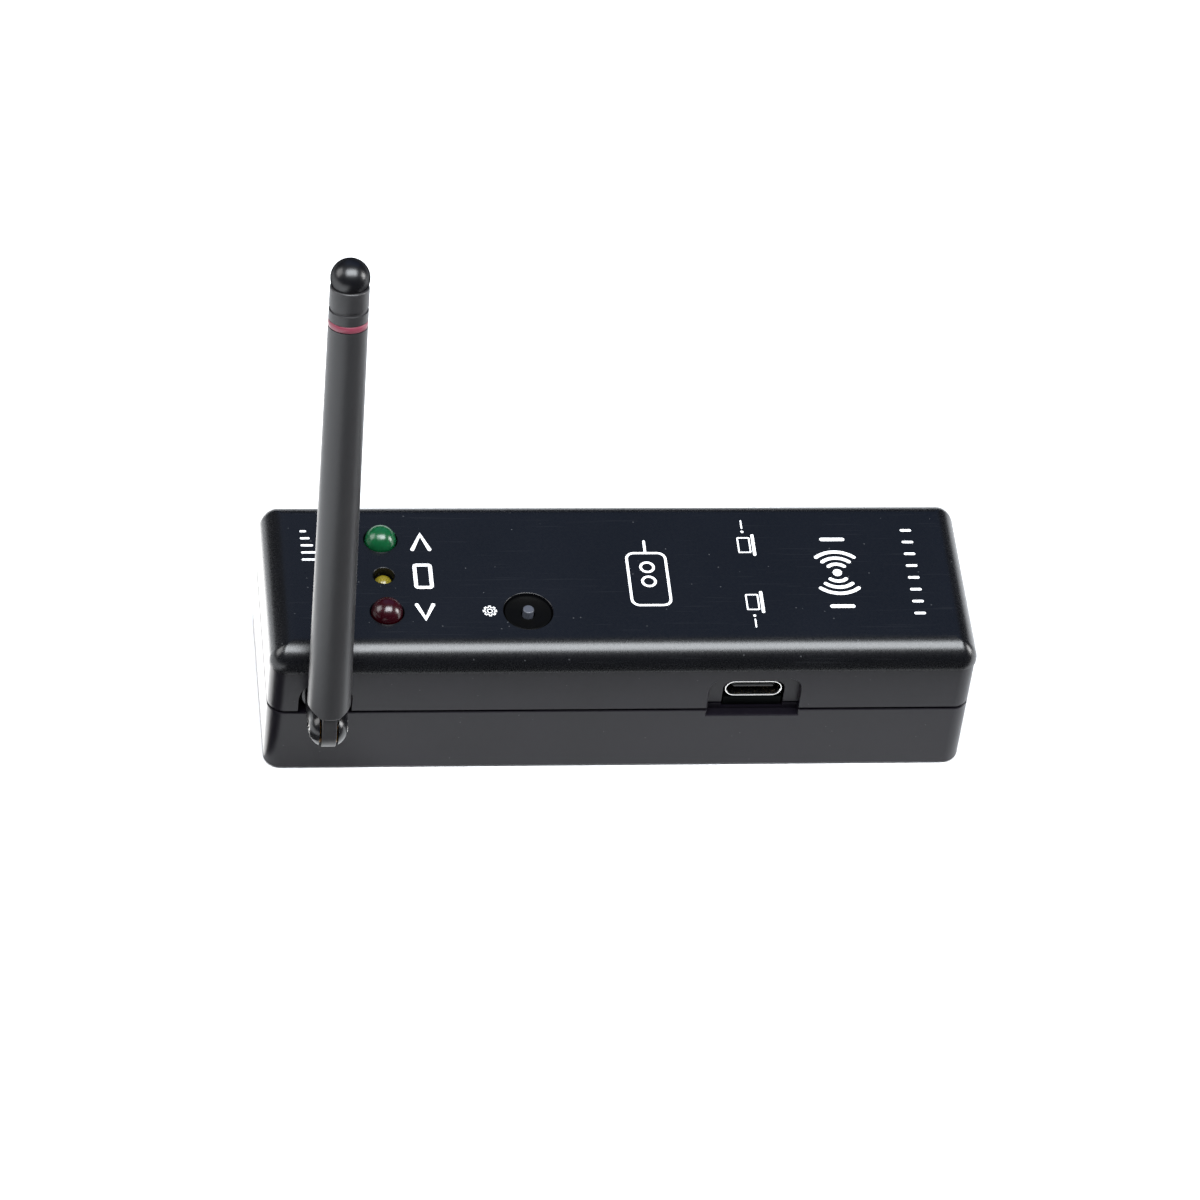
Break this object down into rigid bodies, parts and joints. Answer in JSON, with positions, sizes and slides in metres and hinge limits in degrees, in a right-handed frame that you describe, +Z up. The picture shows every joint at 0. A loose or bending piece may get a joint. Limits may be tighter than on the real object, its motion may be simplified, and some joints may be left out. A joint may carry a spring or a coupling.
{
  "type": "wireless presentation receiver",
  "caption": "Slim two-shell desktop receiver box with three lamps, a recessed settings button, two USB-C sockets and a fork-hinged stub antenna.",
  "frame": {"origin": "centre of the case's flat base", "axes": "+X to the right along the case, -Y out of the front wall, +Z up"},
  "size_m": [0.1084, 0.0416, 0.0935],
  "materials": {
    "case_plastic": "satin fine-grained black moulding with a slight blue cast",
    "board": "green solder mask",
    "lamp_green": "clear green tinted lamp resin",
    "lamp_amber": "clear amber tinted lamp resin",
    "lamp_red": "clear red tinted lamp resin, unlit",
    "button_black": "smooth black cap",
    "pin_grey": "grey satin pin",
    "black_plastic": "black moulded plastic",
    "steel": "drawn nickel-plated steel",
    "brass": "turned brass",
    "antenna_plastic": "satin dark grey moulding",
    "ring_red": "dark red band",
    "tip_black": "glossy black ball tip"
  },
  "bodies": {
    "case": {"top_shell": "case_plastic", "bottom_shell": "case_plastic", "circuit_board": "board", "lamp_green": "lamp_green", "lamp_amber": "lamp_amber", "lamp_red": "lamp_red", "button_switch": "black_plastic", "usb_front_shell": "steel", "usb_front_tongue": "black_plastic", "usb_back_shell": "steel", "usb_back_tongue": "black_plastic", "radio_shield": "steel", "processor": "black_plastic", "crystal": "steel", "case_screw_left": "steel", "case_screw_right": "steel", "board_screw_left": "steel", "board_screw_right": "steel", "antenna_cable": "black_plastic", "cable_plug": "brass"},
    "button": {"settings_button": "button_black", "button_pin": "pin_grey"},
    "fork": {"antenna_fork": "antenna_plastic", "barrel_clip": "steel", "hinge_pin": "steel"},
    "antenna": {"antenna_sleeve": "antenna_plastic", "antenna_ring": "ring_red", "antenna_tip": "tip_black", "antenna_radiator": "brass", "hinge_washer_left": "brass", "hinge_washer_right": "brass"}
  },
  "joints": [
    {"name": "button_press", "type": "slide", "parent": "case", "child": "button", "axis": [0, 0, -1], "range_m": [0, 0.0003], "stiffness_N_per_m": 1500, "springref_m": -0.0006},
    {"name": "antenna_swivel", "type": "hinge", "parent": "case", "child": "fork", "pos_m": [-0.0454, -0.02205, 0.0155], "axis": [0, 1, 0], "range_deg": [-20, 20]},
    {"name": "antenna_tilt", "type": "hinge", "parent": "fork", "child": "antenna", "pos_m": [-0.0454, -0.02205, 0.0155], "axis": [1, 0, 0], "range_deg": [0, 104.2]}
  ]
}
